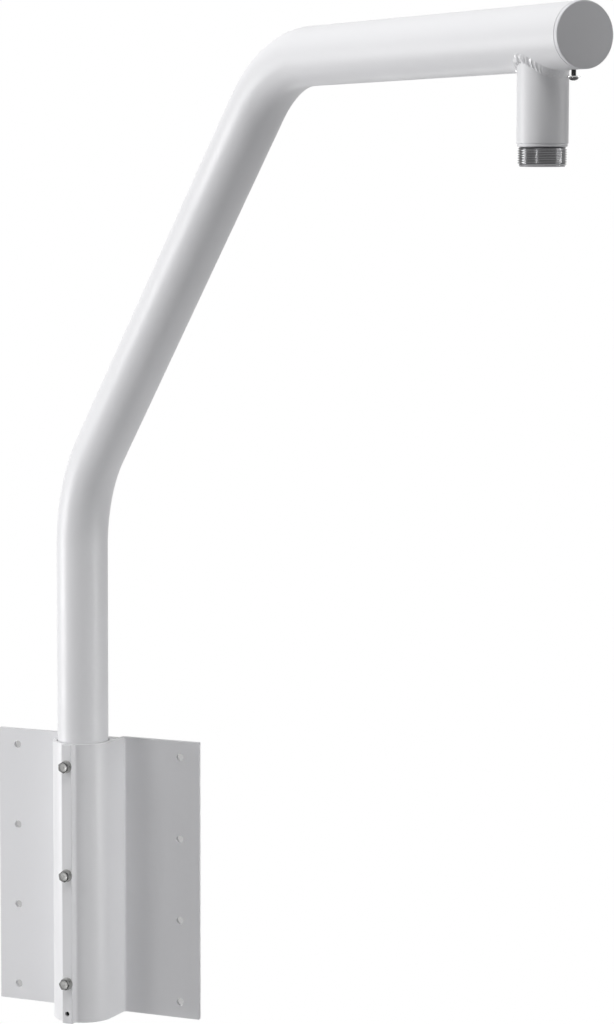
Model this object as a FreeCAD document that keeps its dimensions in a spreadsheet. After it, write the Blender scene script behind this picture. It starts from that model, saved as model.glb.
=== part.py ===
import FreeCAD, Part
import math
import os

import Sketcher
from FreeCAD import Placement, Rotation, Vector

"""Swing-out mast bracket for a hanging dome camera, all lengths in millimetres.

A wall bracket with a round socket holds the foot of a bent mast. The mast can be turned in the
socket once the three set bolts on the front rib are loosened. Its arm ends in a cap and carries
a threaded pipe spigot that the camera screws onto.

The frame: +Z is up, the wall is the plane Y = 0, the room side is -Y, and the origin is the
centre of the bracket's wall face. The mast's pieces are drawn in a plane of their own, with X
along the arm, and are then turned to the arm's heading.
"""

# Driving dimensions: name, value, what it is.
SIZES = (
    ("mast_diameter", 65, "outside of the bent tube"),
    ("mast_wall", 3, "wall of the bent tube"),
    ("bend_radius", 180, "centreline radius of both bends"),
    ("incline_angle", 45, "degrees between the mast and the sloping run"),
    ("knee_height", 681, "corner of mast and sloping run above the bracket's lower end"),
    ("arm_height", 1203, "arm's axis above the bracket's lower end"),
    ("arm_reach", 1125, "mast axis to the outer face of the cap"),
    ("arm_heading", 53.2, "degrees from straight out of the wall towards +X"),
    ("bracket_height", 360, "length of the bracket's section"),
    ("bracket_width", 290, "across both wings"),
    ("wing_thickness", 5, "wall of the wings"),
    ("mast_standoff", 45, "wall face to mast axis"),
    ("socket_clearance", 1, "mast to socket, radial"),
    ("socket_wall", 5, "wall of the socket and its side walls"),
    ("root_radius", 3, "hollow between side wall and wing"),
    ("channel_radius", 1.5, "hollow behind the socket"),
    ("edge_bevel", 0.8, "broken edges of the cut ends"),
    ("hole_span", 236, "between the two columns of wall holes"),
    ("hole_margin", 21, "outermost rows of wall holes from the cut ends"),
    ("hole_pitch", "=(bracket_height - 2 * hole_margin) / 3", "between neighbouring rows"),
    ("wall_hole_diameter", 10, "wall screw holes"),
    ("rib_width", 15, "front rib"),
    ("rib_depth", 7.5, "front rib in front of the socket"),
    ("rib_round", 1.5, "front corners of the rib"),
    ("bolt_diameter", 8, "set bolt thread"),
    ("bolt_across_flats", 13, "set bolt head"),
    ("bolt_head_height", 5.3, "set bolt head"),
    ("bolt_head_bevel", 0.9, "turned-down corners of the head"),
    ("bolt_first_height", 52, "lowest set bolt above the bracket's lower end"),
    ("bolt_last_depth", 28, "highest set bolt below the bracket's upper end"),
    ("bolt_pitch", "=(bracket_height - bolt_first_height - bolt_last_depth) / 2", "between set bolts"),
    ("bolt_tip_gap", 0.3, "bolt tip to mast"),
    ("bolt_tip_bevel", 1, "chamfer of the bolt tip"),
    ("thread_clearance", 0.05, "screw thread to its hole, radial"),
    ("flat_washer_diameter", 16, "washer against the rib"),
    ("flat_washer_thickness", 1.6, "washer against the rib"),
    ("spring_washer_diameter", 14.8, "split washer"),
    ("spring_washer_thickness", 2, "split washer"),
    ("spring_washer_gap", 1.6, "its split"),
    ("washer_clearance", 0.2, "washer bores to bolt, radial"),
    ("stop_diameter", 6, "stop screw under the mast's foot"),
    ("stop_length", 16, "stop screw"),
    ("stop_recess", 3, "stop screw below the rib's front"),
    ("stop_height", 12.5, "stop screw above the bracket's lower end"),
    ("stop_key", 3, "hexagon socket of the stop screw"),
    ("foot_gap", 0.3, "mast's foot over the stop screw"),
    ("cap_thickness", 5.5, "flange of the end cap"),
    ("cap_bevel", 1.2, "outer edge of the cap"),
    ("cap_skirt_length", 8, "part of the cap inside the tube"),
    ("cap_skirt_wall", 2.5, "part of the cap inside the tube"),
    ("cap_clearance", 0.2, "cap skirt to tube bore, radial"),
    ("spigot_setback", 72, "spigot axis behind the cap's outer face"),
    ("spigot_reach", "=arm_reach - spigot_setback", "mast axis to spigot axis"),
    ("spigot_diameter", 50.6, "painted pipe"),
    ("spigot_bore", 41, "cable way through the pipe"),
    ("spigot_drop", 103.5, "arm's axis to the shoulder over the thread"),
    ("shoulder_bevel", 1.2, "lower edge of the painted pipe"),
    ("thread_diameter", 47.8, "outside of the pipe thread"),
    ("thread_length", 20.5, "shoulder to the pipe's lower end"),
    ("thread_bevel", 1, "lead-in of the thread"),
    ("weld_size", 4.5, "bead between spigot and arm"),
    ("tether_setback", 19, "tether screw behind the cap's outer face"),
    ("tether_diameter", 5, "tether screw thread"),
    ("tether_gap", 5.9, "arm's underside to the screw's washer"),
    ("tether_washer_diameter", 12.8, "washer on the tether screw"),
    ("tether_washer_thickness", 1.2, "washer on the tether screw"),
    ("tether_head_diameter", 9.4, "domed head"),
    ("tether_head_height", 3.2, "domed head"),
    ("tether_recess", 3.4, "cross slot in the head, tip to tip"),
    ("tether_inside", 4, "screw end above the tube's inner wall"),
)

MAST_RADIUS = "(Sizes.mast_diameter / 2)"
MAST_BORE = "(Sizes.mast_diameter / 2 - Sizes.mast_wall)"
SOCKET_BORE = f"({MAST_RADIUS} + Sizes.socket_clearance)"
SOCKET_OUTER = f"({SOCKET_BORE} + Sizes.socket_wall)"
RIB_FRONT = f"({SOCKET_OUTER} + Sizes.rib_depth)"
LOWER_END = "(-Sizes.bracket_height / 2)"
ARM_AXIS = f"({LOWER_END} + Sizes.arm_height)"
KNEE = f"({LOWER_END} + Sizes.knee_height)"
RUN = "((Sizes.arm_height - Sizes.knee_height) * tan(Sizes.incline_angle * 1 deg))"
LOWER_LEG = "(Sizes.bend_radius * tan(Sizes.incline_angle / 2 * 1 deg))"
UPPER_LEG = "(Sizes.bend_radius * tan((45 - Sizes.incline_angle / 2) * 1 deg))"
LEAN = "sin(Sizes.incline_angle * 1 deg)"
LIFT = "cos(Sizes.incline_angle * 1 deg)"
FOOT = f"({LOWER_END} + Sizes.stop_height + Sizes.stop_diameter / 2 + Sizes.foot_gap)"
TUBE_END = "(Sizes.arm_reach - Sizes.cap_thickness)"
THREAD_RADIUS = "(Sizes.thread_diameter / 2)"
TETHER_REACH = "(Sizes.arm_reach - Sizes.tether_setback)"
TETHER_SEAT = f"({ARM_AXIS} - {MAST_RADIUS} - Sizes.tether_gap - Sizes.tether_washer_thickness)"
UNDER_HEAD = "(Sizes.flat_washer_thickness + Sizes.spring_washer_thickness)"

BOLT_NAMES = ("lower", "middle", "upper")
OVERCUT = 1.0

doc = FreeCAD.newDocument("camera_bracket")


def fill_sheet():
    """Put the sizes into the spreadsheet, one row each; a row may follow from rows above it."""
    sheet = doc.addObject("Spreadsheet::Sheet", "Sizes")
    for row, (alias, value, note) in enumerate(SIZES, start=1):
        sheet.set(f"A{row}", alias)
        sheet.set(f"B{row}", str(value))
        sheet.set(f"C{row}", note)
        sheet.setAlias(f"B{row}", alias)
    doc.recompute()
    return sheet


SHEET = fill_sheet()


def number(expression):
    """Value of an expression over the sheet, as a plain number."""
    result = SHEET.evalExpression(expression.replace("Sizes.", ""))
    return float(getattr(result, "Value", result))


def add_body(label):
    """New sub-part with its own label."""
    body = doc.addObject("PartDesign::Body", label)
    body.Label = label
    return body


def sketch_on(body, name, role, lift="0"):
    """Sketch on one of the body's own origin planes, lifted along the plane's normal."""
    sketch = body.newObject("Sketcher::SketchObject", name)
    plane = next(f for f in body.Origin.OriginFeatures if f.Role == role)
    sketch.AttachmentSupport = [(plane, "")]
    sketch.MapMode = "FlatFace"
    if lift != "0":
        sketch.AttachmentOffset = Placement(Vector(0, 0, number(lift)), Rotation())
        sketch.setExpression("AttachmentOffset.Base.z", lift)
    return sketch


def bind(sketch, constraint, expression):
    """Add a constraint and tie its value to the sheet."""
    index = sketch.addConstraint(constraint)
    sketch.setExpression(f"Constraints[{index}]", expression)


def pin(sketch, edge, end, x, y):
    """Hold one end of an edge at a place given by two expressions."""
    if x == "0":
        sketch.addConstraint(Sketcher.Constraint("PointOnObject", edge, end, -2))
    else:
        bind(sketch, Sketcher.Constraint("DistanceX", -1, 1, edge, end, number(x)), x)
    if y == "0":
        sketch.addConstraint(Sketcher.Constraint("PointOnObject", edge, end, -1))
    else:
        bind(sketch, Sketcher.Constraint("DistanceY", -1, 1, edge, end, number(y)), y)


def add_circle(sketch, x, y, radius):
    """Circle with its centre and radius tied to the sheet."""
    centre = Vector(number(x), number(y), 0)
    edge = sketch.addGeometry(Part.Circle(centre, Vector(0, 0, 1), number(radius)), False)
    bind(sketch, Sketcher.Constraint("Radius", edge, number(radius)), radius)
    pin(sketch, edge, 3, x, y)


def arc_between(start, end, radius, left):
    """Arc from start to end, with its centre on the left or right of the way there."""
    middle = (start + end) * 0.5
    chord = end - start
    reach = math.sqrt(max(radius**2 - (chord.Length / 2) ** 2, 0.0))
    side = Vector(-chord.y, chord.x, 0).normalize() * (reach if left else -reach)
    centre = middle + side
    first, last = (start, end) if left else (end, start)
    angles = [math.atan2(p.y - centre.y, p.x - centre.x) for p in (first, last)]
    circle = Part.Circle(centre, Vector(0, 0, 1), radius)
    return Part.ArcOfCircle(circle, angles[0], angles[1])


def add_chain(sketch, points, arcs=None, closed=True):
    """Lines and arcs through pinned points.

    arcs maps the number of an edge to its radius and whether its centre lies on its left.
    """
    arcs = arcs or {}
    places = [Vector(number(x), number(y), 0) for x, y in points]
    count = len(points) if closed else len(points) - 1
    ends = []
    for index in range(count):
        start, end = places[index], places[(index + 1) % len(places)]
        if index in arcs:
            radius, left = arcs[index]
            edge = sketch.addGeometry(arc_between(start, end, number(radius), left), False)
            bind(sketch, Sketcher.Constraint("Radius", edge, number(radius)), radius)
            ends.append((edge, 1, 2) if left else (edge, 2, 1))
        else:
            ends.append((sketch.addGeometry(Part.LineSegment(start, end), False), 1, 2))
    for index in range(count):
        edge, start, end = ends[index]
        pin(sketch, edge, start, *points[index])
        if closed or index + 1 < count:
            following, its_start, _ = ends[(index + 1) % count]
            link = Sketcher.Constraint("Coincident", edge, end, following, its_start)
            sketch.addConstraint(link)
        else:
            pin(sketch, edge, end, *points[index + 1])


def rectangle(left, right, bottom, top):
    """Corners of an upright rectangle, as expressions."""
    return [(left, bottom), (right, bottom), (right, top), (left, top)]


def hexagon(across_flats):
    """Corners of a hexagon about the origin, one corner up."""
    flat = f"({across_flats} / 2)"
    corner = f"({across_flats} / sqrt(3))"
    low = f"({across_flats} / sqrt(3) / 2)"
    points = [("0", corner), (f"-{flat}", low), (f"-{flat}", f"-{low}")]
    return points + [("0", f"-{corner}"), (flat, f"-{low}"), (flat, low)]


def extrude(body, name, kind, sketch, length=None, midplane=False, reverse=False):
    """Pad or Pocket of a sketch; with no length it runs right through."""
    feature = body.newObject(f"PartDesign::{kind}", name)
    feature.Profile = sketch
    feature.Midplane = midplane
    feature.Reversed = reverse
    if length is None:
        feature.Type = "ThroughAll"
    else:
        feature.Length = number(length)
        feature.setExpression("Length", length)
    doc.recompute()
    return feature


def revolve(body, name, kind, points, arcs=None, upright=None, level=None):
    """Revolution or Groove of a profile in the upright plane.

    It turns about the sketch's own upright axis, about an upright line at a distance, or about
    a level line at a height.
    """
    sketch = sketch_on(body, f"{name}_profile", "XZ_Plane")
    add_chain(sketch, points, arcs)
    feature = body.newObject(f"PartDesign::{kind}", name)
    feature.Profile = sketch
    if upright is None and level is None:
        feature.ReferenceAxis = (sketch, ["V_Axis"])
    else:
        x, z = number(upright or "0"), number(level or "0")
        far = Vector(x, 10, 0) if level is None else Vector(10, z, 0)
        line = sketch.addGeometry(Part.LineSegment(Vector(x, z, 0), far), True)
        pin(sketch, line, 1, upright or "0", level or "0")
        way, along = ("Vertical", "DistanceY") if level is None else ("Horizontal", "DistanceX")
        sketch.addConstraint(Sketcher.Constraint(way, line))
        sketch.addConstraint(Sketcher.Constraint(along, line, 1, line, 2, 10))
        feature.ReferenceAxis = (sketch, ["Axis0"])
    feature.Angle = 360
    doc.recompute()
    return feature


def edges_where(feature, test):
    """Names of a feature's edges that pass a test."""
    edges = feature.Shape.Edges
    return [f"Edge{i}" for i, edge in enumerate(edges, start=1) if test(edge)]


def round_edges(body, name, base, test, radius, kind="Fillet"):
    """Fillet or chamfer the edges of the last feature that pass a test."""
    feature = body.newObject(f"PartDesign::{kind}", name)
    feature.Base = (base, edges_where(base, test))
    size = "Radius" if kind == "Fillet" else "Size"
    setattr(feature, size, number(radius))
    feature.setExpression(size, radius)
    doc.recompute()
    return feature


def upright_at(*places):
    """Test for an upright edge that passes through one of the plan places."""

    def test(edge):
        box = edge.BoundBox
        if box.XLength > 0.01 or box.YLength > 0.01:
            return False
        return any(math.hypot(box.XMin - x, box.YMin - y) < 0.01 for x, y in places)

    return test


def on_cut_end(half_height):
    """Test for an edge that lies in one of the section's two cut ends."""

    def test(edge):
        box = edge.BoundBox
        return box.ZLength < 0.01 and abs(abs(box.ZMin) - half_height) < 0.01

    return test


def place_on_front(body, height):
    """Stand a fastener on the rib, its axis out of the wall, at a height over the lower end."""
    body.Placement = Placement(Vector(), Rotation(Vector(1, 0, 0), 90))
    body.setExpression("Placement.Base.y", f"-(Sizes.mast_standoff + {RIB_FRONT})")
    body.setExpression("Placement.Base.z", f"{LOWER_END} + {height}")


def place_on_mast(part):
    """Turn a piece drawn along X to the arm's heading, about the mast's axis."""
    turn = 90 - number("Sizes.arm_heading")
    part.Placement = Placement(Vector(0, 0, 0), Rotation(Vector(0, 0, -1), turn))
    part.setExpression("Placement.Base.y", "-Sizes.mast_standoff")
    part.setExpression("Placement.Rotation.Angle", "90 - Sizes.arm_heading")


def build_wall_bracket():
    """Wings, side walls, round socket and front rib, one section cut to length."""
    body = add_body("wall_bracket")
    height = "Sizes.bracket_height"
    axis = "(-Sizes.mast_standoff)"

    wings = sketch_on(body, "wings", "XY_Plane")
    half = "(Sizes.bracket_width / 2)"
    add_chain(wings, rectangle(f"-{half}", half, "-Sizes.wing_thickness", "0"))
    extrude(body, "wing_section", "Pad", wings, height, midplane=True)

    socket = sketch_on(body, "socket", "XY_Plane")
    nose = f"({axis} - {SOCKET_OUTER})"
    points = [(f"-{SOCKET_OUTER}", "0"), (f"-{SOCKET_OUTER}", axis), ("0", nose)]
    points += [(SOCKET_OUTER, axis), (SOCKET_OUTER, "0")]
    add_chain(socket, points, {1: (SOCKET_OUTER, True), 2: (SOCKET_OUTER, True)})
    extrude(body, "socket_section", "Pad", socket, height, midplane=True)

    rib = sketch_on(body, "rib", "XY_Plane")
    side = "(Sizes.rib_width / 2)"
    inner = f"({axis} - {SOCKET_BORE} - Sizes.socket_wall / 2)"
    add_chain(rib, rectangle(f"-{side}", side, f"{axis} - {RIB_FRONT}", inner))
    extrude(body, "rib_section", "Pad", rib, height, midplane=True)

    bore = sketch_on(body, "bore", "XY_Plane")
    add_circle(bore, "0", axis, SOCKET_BORE)
    extrude(body, "bore_cut", "Pocket", bore, midplane=True)

    channel = sketch_on(body, "channel", "XY_Plane")
    meet = f"({axis} + sqrt({SOCKET_OUTER}^2 - {SOCKET_BORE}^2))"
    crown = f"({axis} + {SOCKET_OUTER})"
    points = [(f"-{SOCKET_BORE}", "0"), (f"-{SOCKET_BORE}", meet), ("0", crown)]
    points += [(SOCKET_BORE, meet), (SOCKET_BORE, "0")]
    add_chain(channel, points, {1: (SOCKET_OUTER, False), 2: (SOCKET_OUTER, False)})
    cut = extrude(body, "channel_cut", "Pocket", channel, midplane=True)

    outer, thickness = number(SOCKET_OUTER), number("Sizes.wing_thickness")
    roots = upright_at((outer, -thickness), (-outer, -thickness))
    cut = round_edges(body, "roots", cut, roots, "Sizes.root_radius")
    side, front = number("Sizes.rib_width / 2"), number(f"{axis} - {RIB_FRONT}")
    corners = upright_at((side, front), (-side, front))
    cut = round_edges(body, "rib_corners", cut, corners, "Sizes.rib_round")
    inner, deep = number(SOCKET_BORE), number(meet)
    hollows = upright_at((inner, deep), (-inner, deep))
    cut = round_edges(body, "channel_corners", cut, hollows, "Sizes.channel_radius")

    ends = on_cut_end(number(f"{height} / 2"))
    round_edges(body, "cut_ends", cut, ends, "Sizes.edge_bevel", kind="Chamfer")

    screws = sketch_on(body, "wall_holes", "XZ_Plane")
    for side in (-1, 1):
        for row in (-1.5, -0.5, 0.5, 1.5):
            x, z = f"({side} * Sizes.hole_span / 2)", f"({row} * Sizes.hole_pitch)"
            add_circle(screws, x, z, "(Sizes.wall_hole_diameter / 2)")
    extrude(body, "wall_hole_cut", "Pocket", screws, midplane=True)

    tapped = sketch_on(body, "rib_holes", "XZ_Plane", "Sizes.mast_standoff")
    for count in range(len(BOLT_NAMES)):
        z = f"({LOWER_END} + Sizes.bolt_first_height + {count} * Sizes.bolt_pitch)"
        add_circle(tapped, "0", z, "(Sizes.bolt_diameter / 2 + Sizes.thread_clearance)")
    z = f"({LOWER_END} + Sizes.stop_height)"
    add_circle(tapped, "0", z, "(Sizes.stop_diameter / 2 + Sizes.thread_clearance)")
    depth = f"({RIB_FRONT} + {OVERCUT})"
    extrude(body, "rib_hole_cut", "Pocket", tapped, depth, reverse=True)
    return body


def build_set_bolt(name, height):
    """Hexagon bolt through the rib; its tip holds the mast."""
    body = add_body(f"set_bolt_{name}")
    head = sketch_on(body, "head", "XY_Plane", UNDER_HEAD)
    add_chain(head, hexagon("Sizes.bolt_across_flats"))
    extrude(body, "head_block", "Pad", head, "Sizes.bolt_head_height")

    top = f"({UNDER_HEAD} + Sizes.bolt_head_height)"
    corner = "(Sizes.bolt_across_flats / sqrt(3))"
    inner = f"({corner} - Sizes.bolt_head_bevel * sqrt(3))"
    points = [(inner, top), (corner, f"({top} - Sizes.bolt_head_bevel)"), (corner, top)]
    revolve(body, "head_bevel", "Groove", points)

    side = "(Sizes.bolt_diameter / 2)"
    tip = f"({MAST_RADIUS} + Sizes.bolt_tip_gap - {RIB_FRONT})"
    points = [("0", UNDER_HEAD), (side, UNDER_HEAD), (side, f"({tip} + Sizes.bolt_tip_bevel)")]
    points += [(f"({side} - Sizes.bolt_tip_bevel)", tip), ("0", tip)]
    revolve(body, "shank", "Revolution", points)
    place_on_front(body, height)
    return body


def build_ring(label, base, thickness, outer, height):
    """Washer on the bolt, standing on the rib."""
    body = add_body(label)
    ring = sketch_on(body, "ring", "XY_Plane", base)
    add_circle(ring, "0", "0", f"({outer} / 2)")
    add_circle(ring, "0", "0", "(Sizes.bolt_diameter / 2 + Sizes.washer_clearance)")
    extrude(body, "ring_pad", "Pad", ring, thickness)
    place_on_front(body, height)
    return body


def build_flat_washer(name, height):
    """Plain washer against the rib."""
    thickness = "Sizes.flat_washer_thickness"
    return build_ring(f"flat_washer_{name}", "0", thickness, "Sizes.flat_washer_diameter", height)


def build_spring_washer(name, height):
    """Split washer under the bolt head, with a slanting split."""
    base, thickness = "Sizes.flat_washer_thickness", "Sizes.spring_washer_thickness"
    outer = "Sizes.spring_washer_diameter"
    body = build_ring(f"spring_washer_{name}", base, thickness, outer, height)
    split = sketch_on(body, "split", "YZ_Plane")
    half, slant = "(Sizes.spring_washer_gap / 2)", "(Sizes.spring_washer_thickness / 2)"
    top = f"({base} + {thickness})"
    points = [(f"(-{half} - {slant})", base), (f"({half} - {slant})", base)]
    points += [(f"({half} + {slant})", top), (f"(-{half} + {slant})", top)]
    add_chain(split, points)
    extrude(body, "split_cut", "Pocket", split, outer, reverse=True)
    return body


def build_stop_screw():
    """Headless screw low in the rib that carries the mast's foot."""
    body = add_body("stop_screw")
    top, side = "(-Sizes.stop_recess)", "(Sizes.stop_diameter / 2)"
    tip = f"({top} - Sizes.stop_length)"
    bevel = "(Sizes.stop_diameter / 8)"
    points = [("0", top), (f"({side} - {bevel})", top), (side, f"({top} - {bevel})")]
    points += [(side, f"({tip} + {bevel})"), (f"({side} - {bevel})", tip), ("0", tip)]
    revolve(body, "shank", "Revolution", points)
    key = sketch_on(body, "key", "XY_Plane", top)
    add_chain(key, hexagon("Sizes.stop_key"))
    extrude(body, "key_cut", "Pocket", key, "Sizes.stop_key")
    place_on_front(body, "Sizes.stop_height")
    return body


def build_mast_tube():
    """Mast, sloping run and arm, one tube bent twice, with the two holes in the arm."""
    body = add_body("mast_tube")
    path = sketch_on(body, "path", "XZ_Plane")
    points = [("0", FOOT), ("0", f"({KNEE} - {LOWER_LEG})")]
    points += [(f"({LOWER_LEG} * {LEAN})", f"({KNEE} + {LOWER_LEG} * {LIFT})")]
    points += [(f"({RUN} - {UPPER_LEG} * {LEAN})", f"({ARM_AXIS} - {UPPER_LEG} * {LIFT})")]
    points += [(f"({RUN} + {UPPER_LEG})", ARM_AXIS), (TUBE_END, ARM_AXIS)]
    bends = {1: ("Sizes.bend_radius", False), 3: ("Sizes.bend_radius", False)}
    add_chain(path, points, bends, closed=False)
    section = sketch_on(body, "section", "XY_Plane", FOOT)
    add_circle(section, "0", "0", MAST_RADIUS)
    add_circle(section, "0", "0", MAST_BORE)
    doc.recompute()
    tube = body.newObject("PartDesign::AdditivePipe", "tube")
    tube.Profile = section
    tube.Spine = path
    doc.recompute()

    holes = sketch_on(body, "arm_holes", "XY_Plane", ARM_AXIS)
    add_circle(holes, "Sizes.spigot_reach", "0", "(Sizes.spigot_bore / 2)")
    add_circle(holes, TETHER_REACH, "0", "(Sizes.tether_diameter / 2 + Sizes.thread_clearance)")
    extrude(body, "arm_hole_cut", "Pocket", holes, f"({MAST_RADIUS} + {OVERCUT})")
    place_on_mast(body)
    return body


def build_end_cap():
    """Cap on the arm's end, with a short skirt inside the tube."""
    body = add_body("end_cap")
    face, seam = "Sizes.arm_reach", TUBE_END
    skirt = f"({MAST_BORE} - Sizes.cap_clearance)"
    hollow = f"({skirt} - Sizes.cap_skirt_wall)"
    inner_end = f"({TUBE_END} - Sizes.cap_skirt_length)"
    rim = f"({MAST_RADIUS} - Sizes.cap_bevel)"

    def above(radius):
        return f"({ARM_AXIS} + {radius})"

    points = [(face, ARM_AXIS), (face, above(rim)), (f"({face} - Sizes.cap_bevel)", above(MAST_RADIUS))]
    points += [(seam, above(MAST_RADIUS)), (seam, above(skirt)), (inner_end, above(skirt))]
    points += [(inner_end, above(hollow)), (seam, above(hollow)), (seam, ARM_AXIS)]
    revolve(body, "cap", "Revolution", points, level=ARM_AXIS)
    place_on_mast(body)
    return body


def build_camera_spigot():
    """Pipe welded under the arm, open for the cable, turned down and threaded at its lower end."""
    body = add_body("camera_spigot")
    reach = "Sizes.spigot_reach"
    shoulder = f"({ARM_AXIS} - Sizes.spigot_drop)"
    low = f"({shoulder} - Sizes.thread_length)"

    def out(radius):
        return f"({reach} + {radius})"

    bore, pipe = "(Sizes.spigot_bore / 2)", "(Sizes.spigot_diameter / 2)"
    points = [(out(bore), ARM_AXIS), (out(bore), low)]
    points += [(out(f"({THREAD_RADIUS} - Sizes.thread_bevel)"), low)]
    points += [(out(THREAD_RADIUS), f"({low} + Sizes.thread_bevel)"), (out(THREAD_RADIUS), shoulder)]
    points += [(out(f"({pipe} - Sizes.shoulder_bevel)"), shoulder)]
    points += [(out(pipe), f"({shoulder} + Sizes.shoulder_bevel)"), (out(pipe), ARM_AXIS)]
    revolve(body, "pipe", "Revolution", points, upright=reach)

    saddle = sketch_on(body, "saddle", "YZ_Plane")
    add_circle(saddle, "0", ARM_AXIS, MAST_RADIUS)
    extrude(body, "saddle_cut", "Pocket", saddle, midplane=True)
    place_on_mast(body)
    return body


def build_spigot_weld():
    """Bead all round the joint of spigot and arm."""
    body = add_body("spigot_weld")
    pipe = "(Sizes.spigot_diameter / 2)"
    outside = f"({MAST_RADIUS} + Sizes.weld_size)"
    ring = sketch_on(body, "ring", "XY_Plane", ARM_AXIS)
    add_circle(ring, "Sizes.spigot_reach", "0", f"({pipe} + Sizes.weld_size)")
    add_circle(ring, "Sizes.spigot_reach", "0", pipe)
    extrude(body, "ring_pad", "Pad", ring, f"({outside} + {OVERCUT})", reverse=True)

    saddle = sketch_on(body, "saddle", "YZ_Plane")
    add_circle(saddle, "0", ARM_AXIS, MAST_RADIUS)
    extrude(body, "saddle_cut", "Pocket", saddle, midplane=True)

    rest = sketch_on(body, "outside", "YZ_Plane")
    add_circle(rest, "0", ARM_AXIS, outside)
    add_circle(rest, "0", ARM_AXIS, f"({outside} * 2)")
    extrude(body, "outside_cut", "Pocket", rest, midplane=True)
    place_on_mast(body)
    return body


def build_tether_screw():
    """Cross-recessed screw under the arm's end that holds a safety cord."""
    body = add_body("tether_screw")
    shank, head = "(Sizes.tether_diameter / 2)", "(Sizes.tether_head_diameter / 2)"
    top = f"({ARM_AXIS} - {MAST_BORE} + Sizes.tether_inside)"
    crown = f"({TETHER_SEAT} - Sizes.tether_head_height)"
    brim = f"({TETHER_SEAT} - Sizes.tether_head_height / 3)"
    rise = "(Sizes.tether_head_height * 2 / 3)"
    dome = f"(({head}^2 + {rise}^2) / 2 / {rise})"

    def out(radius):
        return f"({TETHER_REACH} + {radius})"

    points = [(TETHER_REACH, top), (TETHER_REACH, crown), (out(head), brim), (out(head), TETHER_SEAT)]
    points += [(out(shank), TETHER_SEAT), (out(shank), top)]
    revolve(body, "screw", "Revolution", points, {1: (dome, True)}, upright=TETHER_REACH)

    cross = sketch_on(body, "cross", "XY_Plane", crown)
    tip, slot = "(Sizes.tether_recess / 2)", "(Sizes.tether_recess / 8)"
    corners = [(tip, slot), (slot, slot), (slot, tip), (f"-{slot}", tip), (f"-{slot}", slot)]
    corners += [(f"-{tip}", slot), (f"-{tip}", f"-{slot}"), (f"-{slot}", f"-{slot}")]
    corners += [(f"-{slot}", f"-{tip}"), (slot, f"-{tip}"), (slot, f"-{slot}"), (tip, f"-{slot}")]
    add_chain(cross, [(f"({TETHER_REACH} + {x})", y) for x, y in corners])
    extrude(body, "cross_cut", "Pocket", cross, rise, reverse=True)
    place_on_mast(body)
    return body


def build_tether_washer():
    """Washer on the tether screw's head."""
    body = add_body("tether_washer")
    ring = sketch_on(body, "ring", "XY_Plane", TETHER_SEAT)
    add_circle(ring, TETHER_REACH, "0", "(Sizes.tether_washer_diameter / 2)")
    add_circle(ring, TETHER_REACH, "0", "(Sizes.tether_diameter / 2 + Sizes.washer_clearance)")
    extrude(body, "ring_pad", "Pad", ring, "Sizes.tether_washer_thickness")
    place_on_mast(body)
    return body


def check_document():
    """Stop on any object that failed to compute."""
    doc.recompute()
    for item in doc.Objects:
        if {"Invalid", "Error"} & set(item.State):
            raise RuntimeError(f"{item.Label} failed: {item.State}")


def write_step(body):
    """Write one sub-part, once its shape is a single sound solid."""
    shape = body.Shape
    if shape.isNull() or not shape.isValid() or len(shape.Solids) != 1:
        raise RuntimeError(f"{body.Label} is not one sound solid")
    shape.exportStep(f"parts/{body.Label}.step")


def build_all():
    """Every sub-part of the bracket."""
    bodies = [build_wall_bracket(), build_stop_screw()]
    for count, name in enumerate(BOLT_NAMES):
        height = f"(Sizes.bolt_first_height + {count} * Sizes.bolt_pitch)"
        bodies.append(build_flat_washer(name, height))
        bodies.append(build_spring_washer(name, height))
        bodies.append(build_set_bolt(name, height))
    bodies += [build_mast_tube(), build_end_cap(), build_camera_spigot(), build_spigot_weld()]
    return bodies + [build_tether_screw(), build_tether_washer()]


BODIES = build_all()
check_document()
os.makedirs("parts", exist_ok=True)
for sub_part in BODIES:
    write_step(sub_part)
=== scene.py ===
"""A wall bracket with a swinging mast that holds a hanging dome camera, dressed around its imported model.

Sizes are in millimetres until a point is placed: MM turns them into metres.
"""

import logging
import math
from collections.abc import Callable, Sequence
from dataclasses import dataclass, field
from enum import Enum

import bmesh
import bpy
from mathutils import Matrix, Vector


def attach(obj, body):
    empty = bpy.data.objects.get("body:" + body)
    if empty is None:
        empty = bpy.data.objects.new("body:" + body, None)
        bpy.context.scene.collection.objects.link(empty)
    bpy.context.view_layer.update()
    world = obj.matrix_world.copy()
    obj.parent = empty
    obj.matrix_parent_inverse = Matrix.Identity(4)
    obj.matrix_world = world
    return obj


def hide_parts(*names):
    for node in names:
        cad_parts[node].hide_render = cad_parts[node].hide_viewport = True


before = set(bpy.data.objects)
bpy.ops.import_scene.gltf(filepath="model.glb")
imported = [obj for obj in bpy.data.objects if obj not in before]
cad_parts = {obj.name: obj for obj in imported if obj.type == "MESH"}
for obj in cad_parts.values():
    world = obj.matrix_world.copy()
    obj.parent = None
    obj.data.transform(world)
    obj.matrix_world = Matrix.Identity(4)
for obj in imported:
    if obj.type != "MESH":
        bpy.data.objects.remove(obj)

LOG = logging.getLogger("camera_bracket")
MM = 0.001
FLANK_FOOT = 0.84  # where a thread's flank ends, as a share of half its pitch
FLANK_WIDTH = 0.5  # how wide the flank is, as a share of half its pitch
BEAD_FACE = 0.72  # the share of the bead's section that is in the open
SEAM = 1e-6  # points nearer than this, in metres, are one along a seam
RIM = 2e-6  # and where two pieces meet
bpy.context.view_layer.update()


class Body(Enum):
    """The two bodies of the model that a piece can ride on."""

    BRACKET = "bracket"
    MAST = "mast"


class Slot(Enum):
    """The record's material slots."""

    WHITE_PAINT = "white_paint"
    ZINC = "zinc_steel"
    BLACK = "black_steel"
    CAP = "cap_plastic"
    BRIGHT = "bright_screw"


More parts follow.
